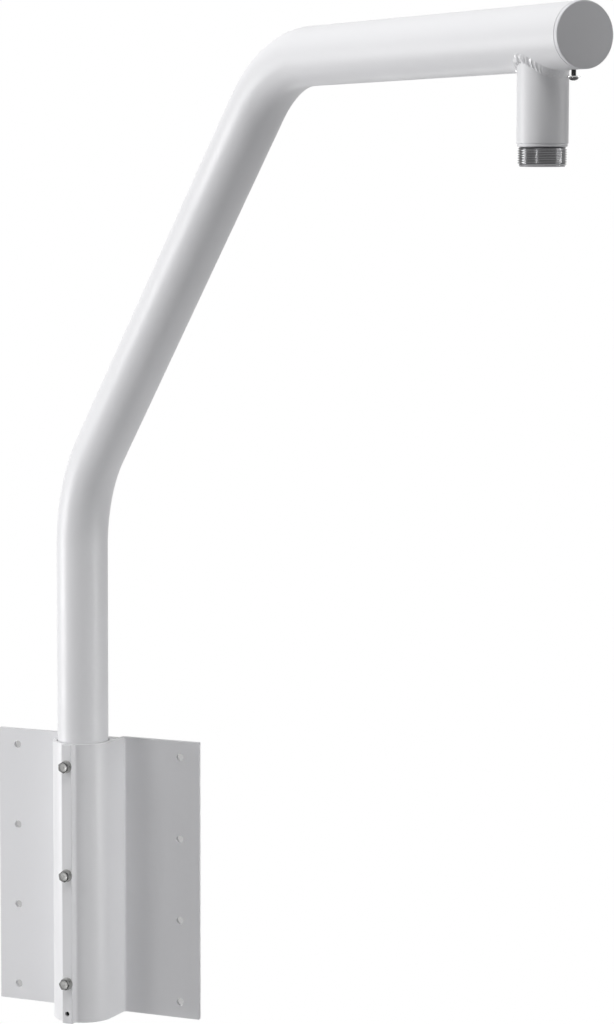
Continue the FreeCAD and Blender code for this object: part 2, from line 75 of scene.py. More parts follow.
@dataclass(frozen=True)
class Place:
    """Where the bracket's and the mast's pieces stand in the model's frame, in millimetres."""

    heading: float = 53.2
    standoff: float = 45.0
    lower_end: float = -180.0
    arm_axis: float = 1023.0
    rib_front: float = 46.0

    def on_mast(self) -> Matrix:
        """Turns a piece drawn with X along the arm, from the mast's axis, to the arm's heading."""
        turn = Matrix.Rotation(math.radians(self.heading - 90.0), 4, "Z")
        return Matrix.Translation((0.0, -self.standoff * MM, 0.0)) @ turn

    def on_arm(self, reach: float) -> Matrix:
        """Turns a piece to the arm's heading, and takes it to a place on the arm's axis."""
        return self.on_mast() @ Matrix.Translation((reach * MM, 0.0, self.arm_axis * MM))

    def on_rib(self, height: float) -> Matrix:
        """Stands a piece drawn upright on the rib's front, its Z out of the wall.

        Args:
            height: The piece's axis above the bracket's lower end.

        Returns:
            The matrix that takes the drawn piece there.
        """
        front = -(self.standoff + self.rib_front) * MM
        lift = (self.lower_end + height) * MM
        return Matrix.Translation((0.0, front, lift)) @ Matrix.Rotation(math.radians(90.0), 4, "X")


PLACE = Place()


class Field:
    """A number inside a node tree that is added, multiplied and compared like any other."""

    def __init__(self, tree: bpy.types.NodeTree, socket: bpy.types.NodeSocket) -> None:
        """Keeps the tree and the socket that the number comes out of."""
        self.tree = tree
        self.socket = socket

    def math(self, operation: str, *others: "Field | float") -> "Field":
        """Puts a Math node on this number.

        Args:
            operation: The Math node's operation.
            others: Its further inputs.

        Returns:
            The node's result.
        """
        values = dict(enumerate((self, *others)))
        node = add_node(self.tree, "ShaderNodeMath", values, operation=operation)
        return Field(self.tree, node.outputs[0])

    def __add__(self, other: "Field | float") -> "Field":
        """Sum."""
        return self.math("ADD", other)

    def __sub__(self, other: "Field | float") -> "Field":
        """Difference."""
        return self.math("SUBTRACT", other)

    def __mul__(self, other: "Field | float") -> "Field":
        """Product."""
        return self.math("MULTIPLY", other)

    def __truediv__(self, other: "Field | float") -> "Field":
        """Quotient."""
        return self.math("DIVIDE", other)

    def sin(self) -> "Field":
        """Sine."""
        return self.math("SINE")

    def cos(self) -> "Field":
        """Cosine."""
        return self.math("COSINE")

    def clamped(self) -> "Field":
        """The number kept between 0 and 1."""
        return self.math("MAXIMUM", 0.0).math("MINIMUM", 1.0)


def wire(node: bpy.types.Node, values: dict) -> bpy.types.Node:
    """Feeds a node's inputs.

    Args:
        node: The node.
        values: Input names or numbers, each with a socket, a field or a plain value.

    Returns:
        The same node.
    """
    for key, value in values.items():
        if isinstance(value, Field):
            value = value.socket
        if isinstance(value, bpy.types.NodeSocket):
            node.id_data.links.new(value, node.inputs[key])
        else:
            node.inputs[key].default_value = value
    return node


def add_node(
    tree: bpy.types.NodeTree, kind: str, values: dict | None = None, **settings: object
) -> bpy.types.Node:
    """Adds a node to a tree.

    Args:
        tree: The tree.
        kind: The node's type name.
        values: What feeds its inputs, as for wire.
        settings: Properties of the node itself.

    Returns:
        The new node.
    """
    node = tree.nodes.new(kind)
    for key, value in settings.items():
        setattr(node, key, value)
    return wire(node, values or {})


class Tree:
    """A Geometry Nodes tree with named inputs, built up node by node."""

    def __init__(self, name: str) -> None:
        """Starts an empty tree.

        Args:
            name: The tree's name.
        """
        self.group = bpy.data.node_groups.new(name, "GeometryNodeTree")
        for side in ("INPUT", "OUTPUT"):
            self.group.interface.new_socket("Geometry", in_out=side, socket_type="NodeSocketGeometry")
        self.inlet = self.node("NodeGroupInput")
        self.outlet = self.node("NodeGroupOutput")

    def numbers(self, *names: str) -> list[Field]:
        """Adds named sizes to the tree's inputs.

        Args:
            names: Their names.

        Returns:
            The sizes, in the same order.
        """
        for name in names:
            self.group.interface.new_socket(name, in_out="INPUT", socket_type="NodeSocketFloat")
        return [Field(self.group, self.inlet.outputs[name]) for name in names]

    def material(self, name: str) -> bpy.types.NodeSocket:
        """Adds a named finish to the tree's inputs."""
        self.group.interface.new_socket(name, in_out="INPUT", socket_type="NodeSocketMaterial")
        return self.inlet.outputs[name]

    def node(self, kind: str, values: dict | None = None, **settings: object) -> bpy.types.Node:
        """Adds a node, as add_node does."""
        return add_node(self.group, kind, values, **settings)

    def grid(
        self, columns: "Field | int", rows: "Field | int"
    ) -> tuple[bpy.types.NodeSocket, Field, Field]:
        """Adds a sheet of faces to be bent into shape.

        Args:
            columns: Faces along its first direction.
            rows: Faces along its second direction.

        Returns:
            The sheet, and how far along each direction a point lies, from 0 to 1.
        """
        values = {"Size X": 1.0, "Size Y": 1.0, "Vertices X": columns + 1, "Vertices Y": rows + 1}
        sheet = self.node("GeometryNodeMeshGrid", values)
        place = self.node("GeometryNodeInputPosition")
        parts = self.node("ShaderNodeSeparateXYZ", {0: place.outputs[0]})
        u, v = (Field(self.group, parts.outputs[axis]) + 0.5 for axis in (0, 1))
        return sheet.outputs["Mesh"], u, v

    def bend(self, sheet: bpy.types.NodeSocket, *place: Field) -> bpy.types.NodeSocket:
        """Moves a sheet's points and closes its seams.

        Args:
            sheet: The sheet of faces.
            place: The three coordinates that its points go to.

        Returns:
            The bent sheet.
        """
        spot = self.node("ShaderNodeCombineXYZ", dict(enumerate(place)))
        links = {"Geometry": sheet, "Position": spot.outputs[0]}
        moved = self.node("GeometryNodeSetPosition", links)
        links = {"Geometry": moved.outputs[0], "Distance": SEAM}
        return self.node("GeometryNodeMergeByDistance", links).outputs[0]

    def finish(
        self, shape: bpy.types.NodeSocket, *finishes: tuple[bpy.types.NodeSocket, object]
    ) -> None:
        """Ends the tree: instances made real and a finish set on each part of the surface.

        Args:
            shape: The geometry that is handed out.
            finishes: Each a material socket and the selection it covers, or None for all of it.
        """
        links = {"Geometry": shape}
        last = self.node("GeometryNodeSetShadeSmooth", links).outputs[0]
        last = self.node("GeometryNodeRealizeInstances", {"Geometry": last}).outputs[0]
        for material, selection in finishes:
            links = {"Geometry": last, "Material": material}
            if selection is not None:
                links["Selection"] = selection
            last = self.node("GeometryNodeSetMaterial", links).outputs[0]
        self.group.links.new(last, self.outlet.inputs[0])

    def run_on(self, piece: bpy.types.Object, **values: object) -> None:
        """Runs the tree on a piece and leaves it as a plain mesh.

        Args:
            piece: The object whose mesh is the tree's input.
            values: Values of the named inputs, with spaces in the names as underscores.
        """
        modifier = piece.modifiers.new(self.group.name, "NODES")
        modifier.node_group = self.group
        names = {item.name: item.identifier for item in self.group.interface.items_tree}
        for name, value in values.items():
            modifier[names[name.replace("_", " ")]] = value
        settle(piece)


def settle(piece: bpy.types.Object) -> None:
    """Turns a piece's modifiers into plain mesh and removes them.

    Args:
        piece: The piece.
    """
    view = bpy.context.evaluated_depsgraph_get()
    mesh = bpy.data.meshes.new_from_object(piece.evaluated_get(view))
    old = piece.data
    piece.modifiers.clear()
    piece.data = mesh
    mesh.name = piece.name
    bpy.data.meshes.remove(old)


def only_used(mesh: bpy.types.Mesh) -> None:
    """Drops the finishes that no face of a mesh has.

    Args:
        mesh: The mesh.
    """
    kept = sorted({face.material_index for face in mesh.polygons})
    finishes = [mesh.materials[index] for index in kept]
    numbers = [kept.index(face.material_index) for face in mesh.polygons]
    mesh.materials.clear()
    for finish in finishes:
        mesh.materials.append(finish)
    mesh.polygons.foreach_set("material_index", numbers)


def crisp(mesh: bpy.types.Mesh, angle: float = 35.0) -> None:
    """Shades a mesh smooth, with its corners over an angle in degrees kept sharp."""
    mesh.shade_smooth()
    mesh.set_sharp_from_angle(angle=math.radians(angle))


def outward(mesh: bpy.types.Mesh) -> None:
    """Turns a closed mesh's faces to point outwards.

    Args:
        mesh: The mesh.
    """
    build = bmesh.new()
    build.from_mesh(mesh)
    bmesh.ops.recalc_face_normals(build, faces=build.faces)
    build.to_mesh(mesh)
    build.free()


def new_piece(name: str, mesh: bpy.types.Mesh) -> bpy.types.Object:
    """Puts a mesh into the scene as a piece.

    Args:
        name: The piece's name.
        mesh: Its mesh.

    Returns:
        The piece.
    """
    piece = bpy.data.objects.new(name, mesh)
    bpy.context.scene.collection.objects.link(piece)
    return piece


def skin(name: str, loops: Sequence[Sequence[Vector]], ring: bool = False) -> bpy.types.Object:
    """A piece whose surface runs through closed loops of points.

    Args:
        name: The piece's name.
        loops: The loops in order, in metres, all with the same count of points. A loop of one
            point is a pole.
        ring: Whether the last loop joins the first.

    Returns:
        The piece.
    """
    build = bmesh.new()
    rows = [[build.verts.new(point) for point in loop] for loop in loops]
    following = rows[1:] + rows[:1] if ring else rows[1:]
    for low, high in zip(rows, following):
        count = max(len(low), len(high))
        for index in range(count):
            corners = [low[index % len(low)], low[(index + 1) % len(low)]]
            corners += [high[(index + 1) % len(high)], high[index % len(high)]]
            build.faces.new(list(dict.fromkeys(corners)))
    bmesh.ops.recalc_face_normals(build, faces=build.faces)
    mesh = bpy.data.meshes.new(name)
    build.to_mesh(mesh)
    build.free()
    crisp(mesh)
    return new_piece(name, mesh)


def rounded(corners: Sequence[tuple[float, float, float]], steps: int = 4) -> list[tuple[float, float]]:
    """Rounds the corners of an open outline.

    Args:
        corners: Each corner's two coordinates and its radius, 0 for a sharp one.
        steps: Edges in each rounding.

    Returns:
        The outline's points.
    """
    outline = []
    for index, (x, y, radius) in enumerate(corners):
        here = Vector((x, y))
        if radius <= 0.0 or index in (0, len(corners) - 1):
            outline.append((x, y))
            continue
        back = (Vector(corners[index - 1][:2]) - here).normalized()
        ahead = (Vector(corners[index + 1][:2]) - here).normalized()
        half = back.angle(ahead) / 2.0
        middle = here + (back + ahead).normalized() * (radius / math.sin(half))
        start = here + back * (radius / math.tan(half)) - middle
        end = here + ahead * (radius / math.tan(half)) - middle
        sweep = start.angle_signed(end)
        for step in range(steps + 1):
            turn = Matrix.Rotation(-sweep * step / steps, 2)
            outline.append(tuple(middle + turn @ start))
    return outline


def polar(radius: float, angle: float, height: float) -> Vector:
    """A point about the upright axis, given in millimetres and handed back in metres."""
    return Vector((radius * math.cos(angle), radius * math.sin(angle), height)) * MM


def hexagon(flat: float, count: int, height: float | Callable[[float], float]) -> list[Vector]:
    """A hexagon about the upright axis, with its points at even angles.

    Args:
        flat: Half its width across the flats.
        count: Points around it.
        height: Its height, or the rule that gives a point's height from its radius.

    Returns:
        The points.
    """
    loop = []
    for index in range(count):
        angle = math.tau * index / count
        side = (angle + math.pi / 6) % (math.pi / 3) - math.pi / 6
        radius = flat / math.cos(side)
        loop.append(polar(radius, angle, height(radius) if callable(height) else height))
    return loop


def washer_outline(
    inner: float, outer: float, low: float, top: float, edges: Sequence[float], steps: int
) -> list[tuple[float, float]]:
    """A washer's section.

    Args:
        inner: Its inner radius.
        outer: Its outer radius.
        low: The height of its lower face.
        top: The height of its upper face.
        edges: The roundings, from inner low round to inner top.
        steps: Edges in each rounding.

    Returns:
        The section's points, to be turned as a ring.
    """
    corners = [(inner, low), (outer, low), (outer, top), (inner, top)]
    seam = (inner, (low + top) / 2, 0.0)
    return rounded([seam, *((*corner, edge) for corner, edge in zip(corners, edges)), seam], steps)[:-1]


def circle(radius: float, height: float, count: int) -> list[Vector]:
    """A level circle about the upright axis, or a pole where its radius is nothing.

    Args:
        radius: Its radius.
        height: Its height.
        count: Points around it.

    Returns:
        The points.
    """
    if radius <= 1e-6:
        return [Vector((0.0, 0.0, height * MM))]
    angles = [math.tau * index / count for index in range(count)]
    return [Vector((radius * math.cos(a) * MM, radius * math.sin(a) * MM, height * MM)) for a in angles]


def lathe(
    name: str, outline: Sequence[tuple[float, float]], count: int = 96, ring: bool = False
) -> bpy.types.Object:
    """A turned piece about the upright axis.

    Args:
        name: The piece's name.
        outline: Its radius and height at each point, in millimetres.
        count: Faces around it.
        ring: Whether the outline closes on itself, as on a washer.

    Returns:
        The piece.
    """
    return skin(name, [circle(radius, height, count) for radius, height in outline], ring)


def join(name: str, pieces: Sequence[bpy.types.Object], weld: bool = False) -> bpy.types.Object:
    """Makes several pieces one, with their finishes kept.

    Args:
        name: The new piece's name.
        pieces: The pieces, which are used up.
        weld: Whether points that meet are merged.

    Returns:
        The new piece.
    """
    build = bmesh.new()
    finishes: list[bpy.types.Material] = []
    for piece in pieces:
        before = len(build.faces)
        build.from_mesh(piece.data)
        build.faces.ensure_lookup_table()
        for face in build.faces[before:]:
            finish = piece.data.materials[face.material_index] if piece.data.materials else None
            if finish not in finishes:
                finishes.append(finish)
            face.material_index = finishes.index(finish)
    if weld:
        bmesh.ops.remove_doubles(build, verts=build.verts, dist=SEAM)
    mesh = bpy.data.meshes.new(name)
    build.to_mesh(mesh)
    build.free()
    for finish in finishes:
        mesh.materials.append(finish)
    for piece in pieces:
        drop(piece)
    return new_piece(name, mesh)


def drop(piece: bpy.types.Object) -> None:
    """Removes a helper object and its mesh.

    Args:
        piece: The object.
    """
    mesh = piece.data
    bpy.data.objects.remove(piece)
    bpy.data.meshes.remove(mesh)


def carve(piece: bpy.types.Object, *tools: bpy.types.Object) -> None:
    """Cuts shapes out of a piece.

    Args:
        piece: The piece.
        tools: The shapes, which are used up.
    """
    for tool in tools:
        modifier = piece.modifiers.new("carve", "BOOLEAN")
        modifier.operation = "DIFFERENCE"
        modifier.solver = "EXACT"
        modifier.object = tool
    settle(piece)
    for tool in tools:
        drop(tool)


def stand(
    piece: bpy.types.Object, place: Matrix, body: Body, slot: Slot, *nodes: str
) -> bpy.types.Object:
    """Puts a finished piece in its place.

    Args:
        piece: The piece, as it is drawn.
        place: The matrix that takes its mesh to its place.
        body: The body that it rides on.
        slot: Its material slot; not used.
        nodes: The model's nodes that it stands for.

    Returns:
        The same piece.
    """
    only_used(piece.data)
    piece.data.transform(place)
    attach(piece, body.value)
    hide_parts(*nodes)
    return piece


@dataclass(frozen=True)
class Finish:
    """A surface with its colour, gloss and fine relief, patterned by place on the piece."""

    name: str
    colour: tuple[float, float, float]
    other_colour: tuple[float, float, float]
    metal: float
    gloss: tuple[float, float]
    patch_scale: float
    grain_scale: float
    grain_depth: float
    stretch: tuple[float, float, float] = (1.0, 1.0, 1.0)
    specular: float = 0.5

    def make(self) -> bpy.types.Material:
        """Builds the material.

        Returns:
            The material, with its colour, roughness and bump wired to its patterns.
        """
        material = bpy.data.materials.new(self.name)
        material.use_nodes = True
        tree = material.node_tree
        where = add_node(tree, "ShaderNodeTexCoord").outputs["Object"]
        space = add_node(tree, "ShaderNodeMapping", {"Vector": where, "Scale": self.stretch}).outputs[0]
        values = {"Factor": self.noise(space, self.patch_scale, 3.0)}
        values |= {"A": (*self.colour, 1.0), "B": (*self.other_colour, 1.0)}
        colour = add_node(tree, "ShaderNodeMix", values, data_type="RGBA").outputs["Result"]
        values = {"Value": self.noise(space, self.patch_scale * 3.1, 2.0)}
        values |= {"From Min": 0.3, "From Max": 0.7, "To Min": self.gloss[0], "To Max": self.gloss[1]}
        roughness = add_node(tree, "ShaderNodeMapRange", values).outputs["Result"]
        values = {"Height": self.noise(space, self.grain_scale, 2.0)}
        values |= {"Strength": 1.0, "Distance": self.grain_depth * MM}
        relief = add_node(tree, "ShaderNodeBump", values).outputs["Normal"]
        wire(tree.nodes["Principled BSDF"], {
            "Base Color": colour, "Metallic": self.metal, "Roughness": roughness,
            "Specular IOR Level": self.specular, "Normal": relief,
        })
        return material

    @staticmethod
    def noise(where: bpy.types.NodeSocket, scale: float, detail: float) -> bpy.types.NodeSocket:
        """Adds a noise pattern.

        Args:
            where: The coordinates that it reads.
            scale: How fine it is.
            detail: How many finer layers it has.

        Returns:
            Its strength.
        """
        values = {"Vector": where, "Scale": scale, "Detail": detail}
        return add_node(where.id_data, "ShaderNodeTexNoise", values).outputs["Fac"]


class Finishes:
    """Every finish on the bracket, made once and shared."""

    def __init__(self) -> None:
        """Makes the materials."""
        self.paint = Finish(
            "white_powder_coat", (0.80, 0.80, 0.815), (0.785, 0.785, 0.80), 0.0, (0.37, 0.45),
            9.0, 620.0, 0.007, specular=0.45,
        ).make()
        self.bead = Finish(
            "painted_weld_bead", (0.80, 0.80, 0.815), (0.775, 0.775, 0.79), 0.0, (0.20, 0.30),
            60.0, 900.0, 0.03, specular=0.6,
        ).make()
        self.mill = Finish(
            "drawn_alloy", (0.60, 0.60, 0.60), (0.50, 0.50, 0.505), 1.0, (0.38, 0.52),
            30.0, 260.0, 0.01, stretch=(1.0, 1.0, 0.12),
        ).make()
        # painted dark reflection: the bare alloy thread is dark grey so that it shows as metal mirroring
        # dark surroundings
        self.thread_dark_reflection = Finish(
            "cut_thread_painted_dark_reflection", (0.21, 0.21, 0.215), (0.16, 0.16, 0.165), 1.0, (0.17, 0.23),
            40.0, 1500.0, 0.001, stretch=(1.0, 1.0, 6.0),
        ).make()
        self.zinc = Finish(
            "zinc_plated_steel", (0.44, 0.44, 0.43), (0.16, 0.16, 0.157), 1.0, (0.26, 0.34),
            330.0, 1900.0, 0.006,
        ).make()
        self.washer = Finish(
            "zinc_plated_washer", (0.36, 0.36, 0.352), (0.26, 0.26, 0.254), 1.0, (0.30, 0.40),
            260.0, 1900.0, 0.008,
        ).make()
        # painted dark reflection: near-black zinc that stands for the dark surroundings mirrored in the
        # bolt heads' turned-down rims
        self.edge_dark_reflection = Finish(
            "zinc_plated_painted_dark_reflection", (0.07, 0.07, 0.07), (0.04, 0.04, 0.04), 1.0, (0.30, 0.42),
            260.0, 1900.0, 0.012,
        ).make()
        self.black = Finish(
            "black_oxide_steel", (0.028, 0.028, 0.03), (0.016, 0.016, 0.017), 0.3, (0.42, 0.6),
            320.0, 1800.0, 0.02,
        ).make()
        # painted dark reflection: the polished screw is near black so that it shows as chrome mirroring
        # dark surroundings
        self.bright = Finish(
            "polished_screw_painted_dark_reflection", (0.09, 0.09, 0.09), (0.05, 0.05, 0.052), 1.0, (0.10, 0.18),
            300.0, 2200.0, 0.004,
        ).make()
        self.bright_rim = Finish(
            "polished_washer", (0.52, 0.52, 0.52), (0.40, 0.40, 0.402), 1.0, (0.10, 0.18),
            300.0, 2200.0, 0.004,
        ).make()
        self.cap = Finish(
            "moulded_cap", (0.74, 0.74, 0.76), (0.72, 0.72, 0.74), 0.0, (0.40, 0.50),
            40.0, 2600.0, 0.02,
        ).make()


@dataclass(frozen=True)
class Thread:
    """A helical thread, in millimetres."""

    crest: float
    root: float
    pitch: float
    length: float
    low: float
    columns: int = 96
    rows_a_turn: int = 12
    run_out: float = 1.2

    @staticmethod
    def tree() -> Tree:
        """Makes the tree that winds a thread and joins it to the turned piece that it is given.

        Returns:
            The tree.
        """
        tree = Tree("wound_thread")
        crest, root, pitch, length = tree.numbers("Crest", "Root", "Pitch", "Length")
        low, run_out = tree.numbers("Low", "Run Out")
        columns, rows, rows_a_turn = tree.numbers("Columns", "Rows", "Rows A Turn")
        plain, cut = tree.material("Plain Finish"), tree.material("Cut Finish")
        sheet, u, v = tree.grid(columns, rows)
        wound = v * rows / rows_a_turn - 1.0
        height = ((wound + u) * pitch).math("MAXIMUM", 0.0).math("MINIMUM", length)
        turn = (wound + 1.0 + 1e-4).math("FRACT")
        tooth = ((turn * 2.0 - 1.0).math("ABSOLUTE") * -1.0 + FLANK_FOOT) / FLANK_WIDTH
        fade = (height.math("MINIMUM", length - height) / run_out).clamped()
        radius = root + (crest - root) * tooth.clamped() * fade
        angle = u * math.tau
        spiral = tree.bend(sheet, radius * angle.cos(), radius * angle.sin(), height + low)
        values = {"Geometry": spiral, "Name": "cut", "Value": True}
        marked = tree.node("GeometryNodeStoreNamedAttribute", values, data_type="BOOLEAN", domain="FACE")
        both = tree.node("GeometryNodeJoinGeometry")
        for part in (marked.outputs[0], tree.inlet.outputs["Geometry"]):
            tree.group.links.new(part, both.inputs[0])
        values = {"Geometry": both.outputs[0], "Distance": RIM}
        shape = tree.node("GeometryNodeMergeByDistance", values).outputs[0]
        mark = tree.node("GeometryNodeInputNamedAttribute", {"Name": "cut"}, data_type="BOOLEAN")
        tree.finish(shape, (plain, None), (cut, mark.outputs["Attribute"]))
        return tree

    def wind(
        self, tree: Tree, piece: bpy.types.Object, plain: bpy.types.Material, cut: bpy.types.Material
    ) -> None:
        """Winds this thread between the open rims of a turned piece.

        Args:
            tree: The tree that winds threads.
            piece: The piece, whose rims lie at the thread's root and at both its ends.
            plain: Finish of the piece.
            cut: Finish of the thread.
        """
        rows = math.ceil((self.length / self.pitch + 1.0) * self.rows_a_turn)
        tree.run_on(
            piece, Crest=self.crest * MM, Root=self.root * MM, Pitch=self.pitch * MM,
            Length=self.length * MM, Low=self.low * MM, Run_Out=self.run_out * MM,
            Columns=float(self.columns), Rows=float(rows), Rows_A_Turn=float(self.rows_a_turn),
            Plain_Finish=plain, Cut_Finish=cut,
        )
        mark = piece.data.attributes.get("cut")
        if mark:
            piece.data.attributes.remove(mark)
        outward(piece.data)
        crisp(piece.data, 50.0)


@dataclass
class WallBracket:
    """The cut length of section that holds the mast: wings, side walls, socket and front rib."""

    finishes: Finishes
    bevel_blend: float = 60.0
    flat_within: float = 0.5
    flat_weight: int = 80

    def build(self) -> list[bpy.types.Object]:
        """Dresses the section, with its broken edges shaded as roundings.

        Returns:
            The bracket.
        """
        piece = new_piece("bracket_section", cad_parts["wall_bracket"].data.copy())
        build = bmesh.new()
        build.from_mesh(piece.data)
        bmesh.ops.remove_doubles(build, verts=build.verts, dist=RIM)
        flat = math.radians(self.flat_within)
        bmesh.ops.dissolve_limit(build, angle_limit=flat, verts=build.verts, edges=build.edges)
        build.to_mesh(piece.data)
        build.free()
        crisp(piece.data, self.bevel_blend)
        weighted = piece.modifiers.new("edge_shading", "WEIGHTED_NORMAL")
        weighted.mode = "FACE_AREA"
        weighted.weight = self.flat_weight
        weighted.keep_sharp = True
        settle(piece)
        piece.data.materials.clear()
        piece.data.materials.append(self.finishes.paint)
        return [stand(piece, Matrix(), Body.BRACKET, Slot.WHITE_PAINT, "wall_bracket")]


@dataclass
class RibScrews:
    """Set bolts with their washers, and the stop screw, all in the front rib."""

    finishes: Finishes
    thread_tree: Tree
    heights: tuple[float, ...] = (52.0, 192.0, 332.0)
    names: tuple[str, ...] = ("lower", "middle", "upper")
    turns: tuple[float, ...] = (27.0, 9.0, 2.0)
    across_flats: float = 13.0
    head: float = 5.3
    face_share: float = 0.87
    shank: float = 8.0
    pitch: float = 1.25
    tip: float = -13.2
    flat_outer: float = 16.0
    flat_thickness: float = 1.6
    spring_outer: float = 14.8
    spring_thickness: float = 2.0
    spring_gap: float = 1.6
    bore: float = 8.4
    stop_height: float = 12.5
    stop_diameter: float = 6.0
    stop_length: float = 16.0
    stop_recess: float = 3.0
    stop_key: float = 3.0
    thread_depth: float = 0.65
    stop_thread_depth: float = 0.5
    spring_steps: int = 90
    turned_slope: float = 30.0
    count: int = 48
    stop_count: int = 36

    def build(self) -> list[bpy.types.Object]:
        """Builds every screw and washer on the rib.

        Returns:
            The pieces.
        """
        pieces = []
        for name, height, turn in zip(self.names, self.heights, self.turns):
            place = PLACE.on_rib(height) @ Matrix.Rotation(math.radians(turn), 4, "Z")
            pieces += [make(name, place) for make in (self.flat_washer, self.spring_washer, self.bolt)]
        return [*pieces, self.stop_screw()]

    def flat_washer(self, name: str, place: Matrix) -> bpy.types.Object:
        """Builds a plain washer, stamped: rounded on its upper edge.

        Args:
            name: Which bolt it belongs to.
            place: Where that bolt stands.

        Returns:
            The washer.
        """
        inner, outer = self.bore / 2, self.flat_outer / 2
        outline = washer_outline(inner, outer, 0.0, self.flat_thickness, (0.12, 0.12, 0.4, 0.25), 3)
        piece = lathe(f"plain_washer_{name}", outline, ring=True)
        piece.data.materials.append(self.finishes.washer)
        return stand(piece, place, Body.BRACKET, Slot.ZINC, f"flat_washer_{name}")

    def spring_washer(self, name: str, place: Matrix) -> bpy.types.Object:
        """Builds a split washer with a slanting split and lightly rounded edges.

        Args:
            name: Which bolt it belongs to.
            place: Where that bolt stands.

        Returns:
            The washer.
        """
        inner, outer = self.bore / 2, self.spring_outer / 2
        low, top = self.flat_thickness, self.flat_thickness + self.spring_thickness
        outline = washer_outline(inner, outer, low, top, (0.25,) * 4, 2)
        gap = self.spring_gap / (outer + inner)
        slant = self.spring_thickness / (outer + inner)
        loops = []
        for index in range(self.spring_steps + 1):
            share = index / self.spring_steps
            near = max(0.0, 1.0 - 12.0 * min(share, 1.0 - share))
            angle = gap + share * (math.tau - 2.0 * gap)
            loop = []
            for radius, height in outline:
                lean = slant * ((height - low) / self.spring_thickness * 2.0 - 1.0)
                loop.append(polar(radius, angle + lean * near, height))
            loops.append(loop)
        start, end = ([sum(loop, Vector()) / len(loop)] for loop in (loops[0], loops[-1]))
        piece = skin(f"split_washer_{name}", [start, *loops, end])
        piece.data.materials.append(self.finishes.washer)
        return stand(piece, place, Body.BRACKET, Slot.ZINC, f"spring_washer_{name}")

    def bolt(self, name: str, place: Matrix) -> bpy.types.Object:
        """Builds a hexagon bolt: head with turned-down corners, rolled thread, bevelled tip.

        Args:
            name: Which bolt it is.
            place: Where it stands.

        Returns:
            The bolt.
        """
        seat = self.flat_thickness + self.spring_thickness
        top, tip, count = seat + self.head, self.tip + 1.0, self.count
        flat, crest = self.across_flats / 2, self.shank / 2
        root, face = crest - self.thread_depth, flat * self.face_share

        def turned(radius: float) -> float:
            """The height of the head's turned-down top at a radius."""
            return top - max(0.0, radius - face) * math.tan(math.radians(self.turned_slope))

        lower = skin(f"bolt_tip_{name}", [
            circle(0.0, self.tip, count), circle(root - 0.7, self.tip, count), circle(root, tip, count),
        ])
        upper = skin(f"bolt_head_{name}", [
            circle(root, seat - 0.6, count), circle(root + 0.35, seat, count),
            hexagon(flat - 0.25, count, seat), hexagon(flat, count, seat + 0.25),
            hexagon(flat, count, turned),
            circle(face, top, count), circle(face - 0.7, top - 0.02, count),
            circle(face - 1.1, top - 0.22, count), circle(0.0, top - 0.26, count),
        ])
        piece = join(f"hexagon_bolt_{name}", [lower, upper])
        thread = Thread(crest, root, self.pitch, seat - 0.6 - tip, tip, count, 8, 0.9)
        thread.wind(self.thread_tree, piece, self.finishes.zinc, self.finishes.zinc)
        crisp(piece.data, 28.0)
        # the turned-down rim of each head gets the near-black finish, a painted dark reflection
        piece.data.materials.append(self.finishes.edge_dark_reflection)
        for polygon in piece.data.polygons:
            if 0.6 < polygon.normal.z < 0.95 and polygon.center.z > (seat + 1.0) * MM:
                polygon.material_index = len(piece.data.materials) - 1
        return stand(piece, place, Body.BRACKET, Slot.ZINC, f"set_bolt_{name}")

    def stop_screw(self) -> bpy.types.Object:
        """Builds the headless screw with its hexagon socket.

        Returns:
            The screw.
        """
        count, crest = self.stop_count, self.stop_diameter / 2
        root, top = crest - self.stop_thread_depth, -self.stop_recess
        low, key = top - self.stop_length, self.stop_key / 2
        lower = skin("stop_tip", [
            circle(0.0, low, count), circle(root - 0.6, low, count), circle(root, low + 0.8, count),
        ])
        upper = skin("stop_top", [
            circle(root, top - 0.8, count), circle(root - 0.3, top, count),
            circle(key * 1.18, top, count), hexagon(key, count, top - 0.2),
            hexagon(key, count, top - self.stop_key), circle(0.0, top - self.stop_key - 0.6, count),
        ])
        piece = join("stop_grub_screw", [lower, upper])
        thread = Thread(crest, root, 1.0, self.stop_length - 1.6, low + 0.8, count, 8, 0.7)
        thread.wind(self.thread_tree, piece, self.finishes.black, self.finishes.black)
        return stand(piece, PLACE.on_rib(self.stop_height), Body.BRACKET, Slot.BLACK, "stop_screw")


